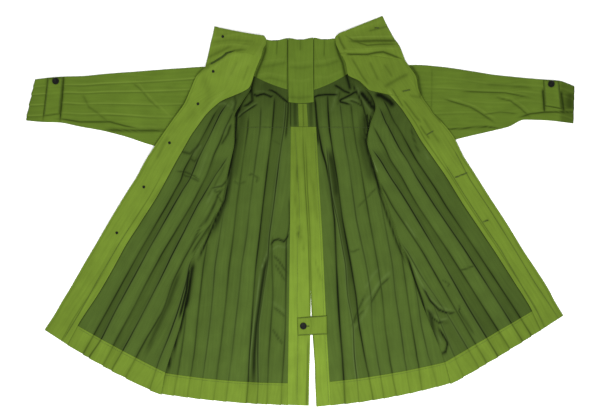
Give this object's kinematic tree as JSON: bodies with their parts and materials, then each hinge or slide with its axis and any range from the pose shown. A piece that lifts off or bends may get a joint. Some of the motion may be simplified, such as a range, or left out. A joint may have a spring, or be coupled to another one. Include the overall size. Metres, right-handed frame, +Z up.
{
  "type": "pleated coat",
  "caption": "Light pleated coat laid open flat on its back, inside up, with its sleeves out to the sides, stand collar, facings, cuff tabs, back vent tab and buttons.",
  "frame": {"origin": "middle of the laid-out coat's plan, on the surface it lies on", "axes": "+X towards the viewer's right sleeve, +Y towards the collar, +Z up from the surface"},
  "size_m": [1.507, 1.072, 0.0128],
  "materials": {
    "cloth_outside": "plain-woven polyester, outer side, yellow-green, slightly sheer sheen",
    "cloth_inside": "plain-woven polyester, inner side, dark green, dull",
    "button": "moulded black plastic"
  },
  "bodies": {
    "root": {"back_left": "cloth_inside", "back_right": "cloth_inside", "front_left": "cloth_inside", "front_right": "cloth_inside", "sleeve_left": "cloth_outside", "sleeve_right": "cloth_outside", "collar_left": "cloth_outside", "collar_right": "cloth_outside", "neck_facing_left": "cloth_outside", "neck_facing_right": "cloth_outside", "neck_box_pleat": "cloth_outside", "centre_strip": "cloth_outside", "vent_facing_left": "cloth_outside", "vent_facing_right": "cloth_outside", "hem_facing_back_left": "cloth_outside", "hem_facing_back_right": "cloth_outside", "hem_facing_front_left": "cloth_outside", "hem_facing_front_right": "cloth_outside", "front_facing_left": "cloth_outside", "front_facing_right": "cloth_outside", "cuff_tab_left": "cloth_outside", "cuff_tab_right": "cloth_outside", "vent_tab": "cloth_outside", "vent_button": "button", "cuff_button_left": "button", "cuff_button_right": "button", "button_back_1": "button", "button_back_2": "button", "button_back_3": "button", "button_back_4": "button", "button_back_5": "button", "button_back_6": "button", "button_face_1": "button", "button_face_2": "button", "button_face_3": "button", "button_face_4": "button", "button_face_5": "button", "button_face_6": "button"}
  },
  "joints": []
}
